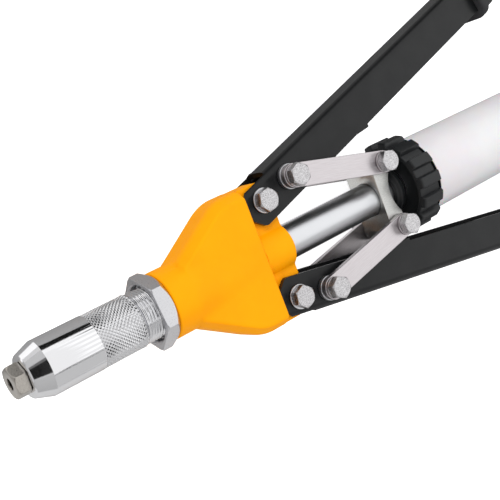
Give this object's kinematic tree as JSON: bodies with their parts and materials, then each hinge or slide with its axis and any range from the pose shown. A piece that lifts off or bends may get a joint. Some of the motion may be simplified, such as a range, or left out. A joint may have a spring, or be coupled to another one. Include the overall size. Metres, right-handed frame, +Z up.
{
  "type": "lever hand riveter",
  "caption": "Two-lever hand riveter for blind rivets, with a chromed nose sleeve, cast body, toggle links, pull tube and a bottle for spent mandrels.",
  "frame": {"origin": "middle of the underside of the whole tool's box, with the tool lying flat", "axes": "+X along the tool's axis from the nose towards the lever ends, +Y towards the upper lever, +Z up, square to the plane in which the levers swing"},
  "size_m": [0.4394, 0.2144, 0.05],
  "materials": {
    "yellow_paint": "semi-gloss orange-yellow paint",
    "chrome": "bright chrome plate",
    "satin_nickel": "satin nickel plate",
    "zinc_plate": "zinc plate, slightly grainy",
    "machined_steel": "milled and zinc-plated steel",
    "hardened_steel": "dark hardened steel",
    "spring_steel": "bright drawn steel",
    "black_paint": "satin black paint",
    "black_plastic": "matt moulded plastic",
    "white_plastic": "translucent white blow-moulded plastic",
    "black_rubber": "matt black rubber"
  },
  "bodies": {
    "body": {"body_casting": "yellow_paint", "nose_sleeve": "chrome", "nosepiece": "satin_nickel", "locknut": "zinc_plate", "upper_pivot_bolt": "zinc_plate", "upper_pivot_washer_front": "zinc_plate", "upper_pivot_washer_back": "zinc_plate", "upper_pivot_nut": "zinc_plate", "lower_pivot_bolt": "zinc_plate", "lower_pivot_washer_front": "zinc_plate", "lower_pivot_washer_back": "zinc_plate", "lower_pivot_nut": "zinc_plate"},
    "upper_lever_arm": {"upper_lever": "black_paint", "upper_grip": "black_rubber"},
    "lower_lever_arm": {"lower_lever": "black_paint", "lower_grip": "black_rubber"},
    "pulling_head": {"crosshead": "machined_steel", "pull_tube": "chrome", "jaw_case": "hardened_steel", "jaw_spring": "spring_steel", "cap_hub": "black_plastic", "upper_pin_bolt": "zinc_plate", "upper_pin_washer_front": "zinc_plate", "upper_pin_washer_back": "zinc_plate", "upper_pin_nut": "zinc_plate", "lower_pin_bolt": "zinc_plate", "lower_pin_washer_front": "zinc_plate", "lower_pin_washer_back": "zinc_plate", "lower_pin_nut": "zinc_plate"},
    "upper_link_pair": {"upper_link_front": "zinc_plate", "upper_link_back": "zinc_plate", "upper_link_spacer_front": "zinc_plate", "upper_link_spacer_back": "zinc_plate", "upper_link_bolt": "zinc_plate", "upper_link_washer_front": "zinc_plate", "upper_link_washer_back": "zinc_plate", "upper_link_nut": "zinc_plate"},
    "lower_link_pair": {"lower_link_front": "zinc_plate", "lower_link_back": "zinc_plate", "lower_link_spacer_front": "zinc_plate", "lower_link_spacer_back": "zinc_plate", "lower_link_bolt": "zinc_plate", "lower_link_washer_front": "zinc_plate", "lower_link_washer_back": "zinc_plate", "lower_link_nut": "zinc_plate"},
    "collector": {"collector_cap": "black_plastic", "collector_bottle": "white_plastic"},
    "jaw_set": {"jaw_1": "hardened_steel", "jaw_2": "hardened_steel", "jaw_3": "hardened_steel", "jaw_pusher": "spring_steel"}
  },
  "joints": [
    {"name": "upper_lever_swing", "type": "hinge", "parent": "body", "child": "upper_lever_arm", "pos_m": [-0.08162, 0.00593, 0.025], "axis": [0, 0, 1], "range_deg": [-1, 40]},
    {"name": "lower_lever_swing", "type": "hinge", "parent": "body", "child": "lower_lever_arm", "pos_m": [-0.08162, -0.04287, 0.025], "axis": [0, 0, 1], "range_deg": [-44.2, 1.3]},
    {"name": "head_slide", "type": "slide", "parent": "body", "child": "pulling_head", "axis": [1, 0, 0], "range_m": [-0.0103, 0.0004]},
    {"name": "upper_link_swing", "type": "hinge", "parent": "pulling_head", "child": "upper_link_pair", "pos_m": [-0.00913, -0.00157, 0.025], "axis": [0, 0, 1], "range_deg": [-9.9, 0.4]},
    {"name": "lower_link_swing", "type": "hinge", "parent": "pulling_head", "child": "lower_link_pair", "pos_m": [-0.00913, -0.03537, 0.025], "axis": [0, 0, 1], "range_deg": [-0.5, 13.1]},
    {"name": "collector_unscrew", "type": "hinge", "parent": "pulling_head", "child": "collector", "pos_m": [0.00928, -0.01847, 0.025], "axis": [1, 0, 0], "range_deg": [0, 180]},
    {"name": "jaw_slide", "type": "slide", "parent": "pulling_head", "child": "jaw_set", "axis": [1, 0, 0], "range_m": [0, 0.002], "stiffness_N_per_m": 2000, "springref_m": -0.004, "deforming": ["jaw_spring"]}
  ],
  "couplings": [
    {"joint": "lower_lever_swing", "follows": "upper_lever_swing", "ratio": -1.1},
    {"joint": "head_slide", "follows": "upper_lever_swing", "m_per_rad": -0.0146},
    {"joint": "upper_link_swing", "follows": "upper_lever_swing", "ratio": -0.2418},
    {"joint": "lower_link_swing", "follows": "upper_lever_swing", "ratio": 0.322}
  ]
}
